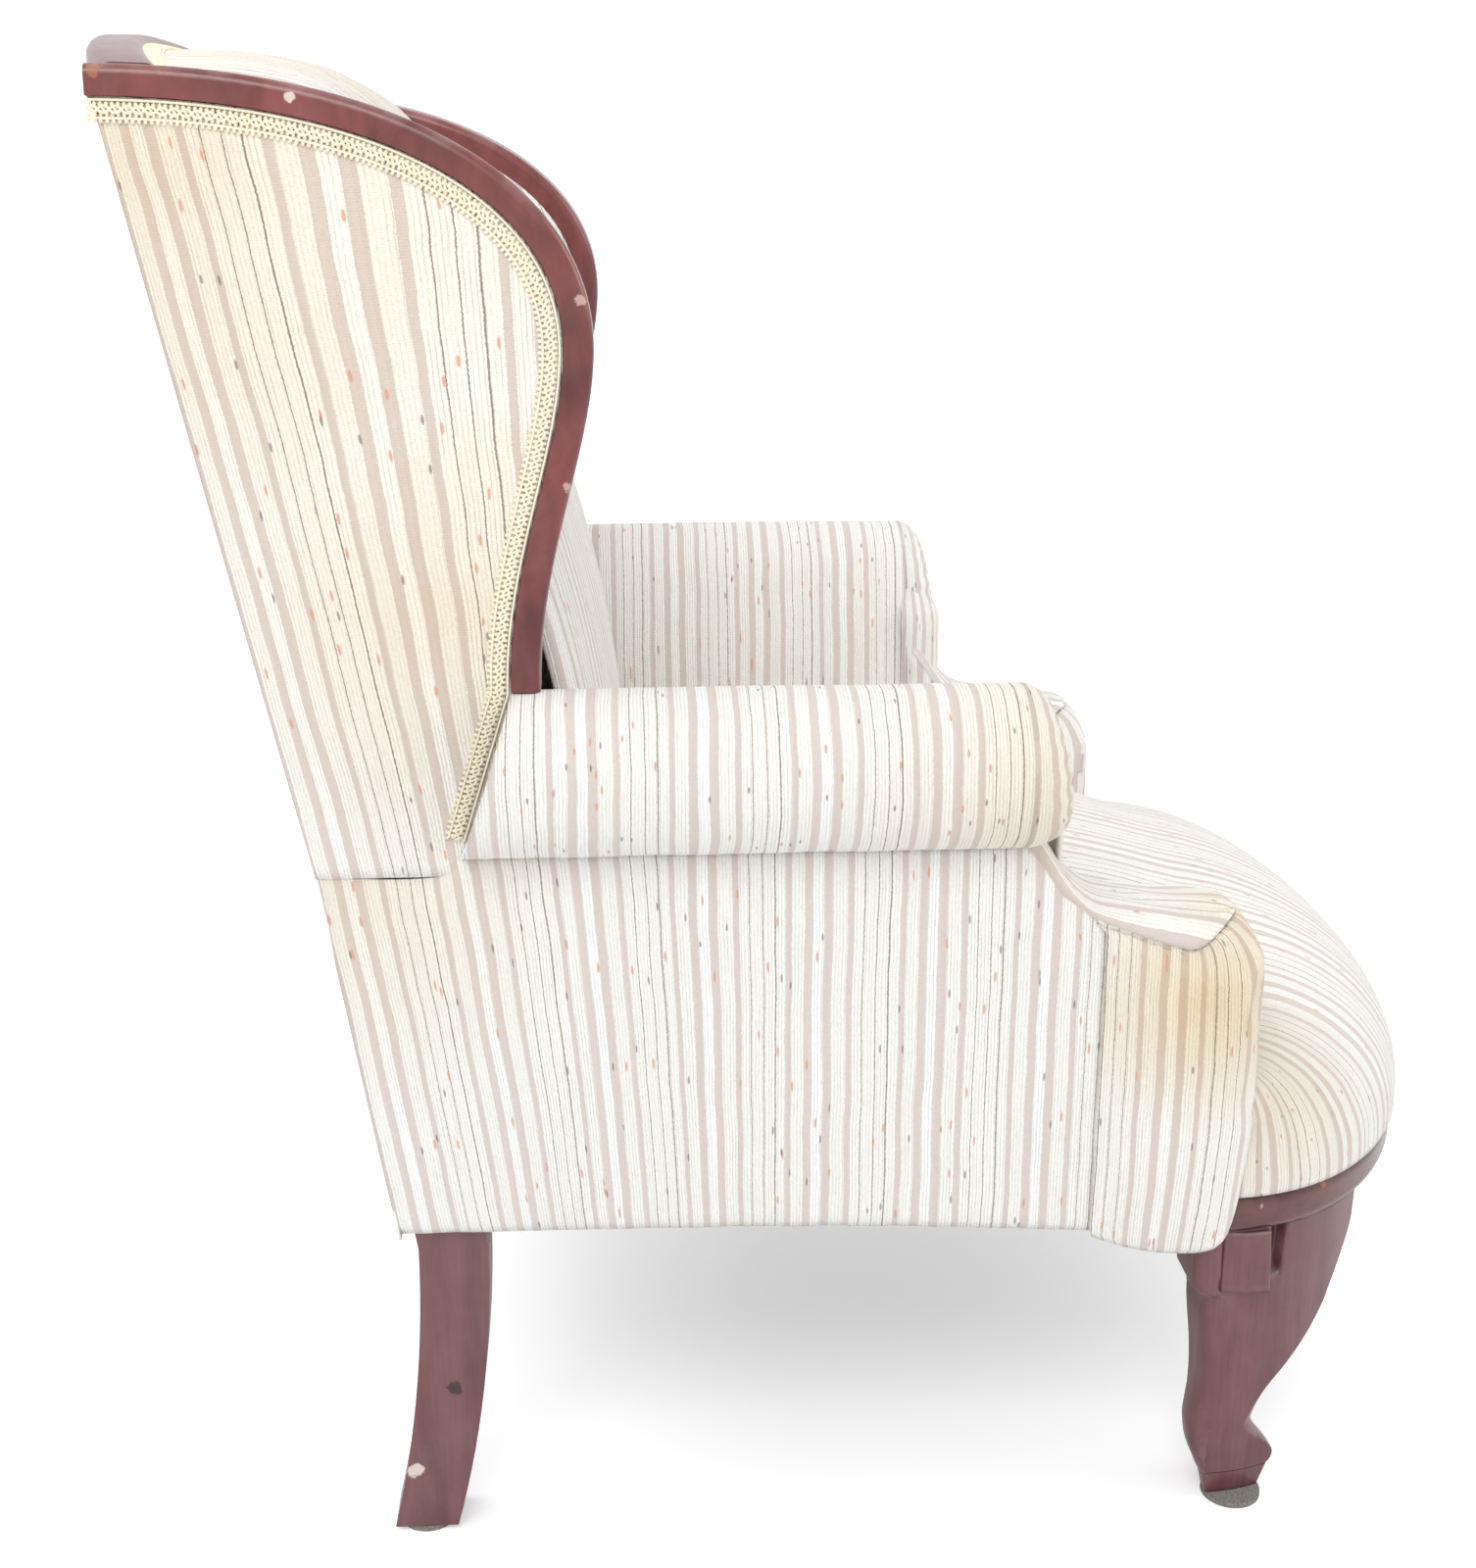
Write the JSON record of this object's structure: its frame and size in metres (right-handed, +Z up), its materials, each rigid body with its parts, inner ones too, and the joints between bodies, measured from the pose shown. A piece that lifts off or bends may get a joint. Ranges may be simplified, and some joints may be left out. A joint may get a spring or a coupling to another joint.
{
  "type": "wingback armchair",
  "caption": "Upholstered wing armchair with rolled arms, a bow-fronted sprung seat, carved show-wood rails, cabriole front legs and sabre rear legs.",
  "frame": {"origin": "on the floor under the middle of the chair's bounding box", "axes": "+Z up, the sitter faces -Y, the sitter's right is -X"},
  "size_m": [0.689, 0.947, 1.003],
  "materials": {
    "show_wood": "red-brown mahogany, satin lacquer with small chips",
    "beech": "planed beech, unfinished",
    "striped_fabric": "cream ribbed chenille with taupe and thin dark stripes and small flecks",
    "padding": "foam and polyester wadding",
    "webbing": "woven upholstery webbing",
    "gimp": "cream scroll gimp braid",
    "dust_cloth": "thin black bottoming cloth",
    "felt": "grey pressed felt",
    "steel": "plain steel fasteners"
  },
  "bodies": {
    "root": {"arm_cover_left": "striped_fabric", "arm_cover_right": "striped_fabric", "arm_padding_left": "padding", "arm_padding_right": "padding", "arm_stuffing_rail_left": "beech", "arm_stuffing_rail_right": "beech", "arm_stump_left": "beech", "arm_stump_right": "beech", "arm_top_rail_left": "beech", "arm_top_rail_right": "beech", "back_padding": "padding", "back_seat_rail": "beech", "back_stile_left": "beech", "back_stile_right": "beech", "back_stuffing_rail": "beech", "back_wadding": "padding", "back_webbing": "webbing", "bow_inner_rail": "beech", "bow_show_rail": "show_wood", "corner_blocks": "beech", "crest_gimp": "gimp", "crest_rail": "show_wood", "dust_cover": "dust_cloth", "front_glides": "felt", "front_leg_left": "show_wood", "front_leg_right": "show_wood", "front_post_left": "beech", "front_post_right": "beech", "front_seat_rail": "beech", "inside_back_cover": "striped_fabric", "inside_wing_cover_left": "striped_fabric", "inside_wing_cover_right": "striped_fabric", "knee_ears": "show_wood", "leg_bolts_and_screws": "steel", "outside_arm_cover_left": "striped_fabric", "outside_arm_cover_right": "striped_fabric", "outside_back_cover": "striped_fabric", "outside_wing_cover_left": "striped_fabric", "outside_wing_cover_right": "striped_fabric", "post_facing_left": "striped_fabric", "post_facing_right": "striped_fabric", "rear_glides": "felt", "rear_leg_left": "show_wood", "rear_leg_right": "show_wood", "seat_cover": "striped_fabric", "seat_padding": "padding", "seat_webbing": "webbing", "side_seat_rail_left": "beech", "side_seat_rail_right": "beech", "side_wadding_left": "padding", "side_wadding_right": "padding", "upper_back_rail": "beech", "wing_fillet_left": "beech", "wing_fillet_right": "beech", "wing_gimp_left": "gimp", "wing_gimp_right": "gimp", "wing_padding_left": "padding", "wing_padding_right": "padding", "wing_rail_left": "show_wood", "wing_rail_right": "show_wood"}
  },
  "joints": []
}
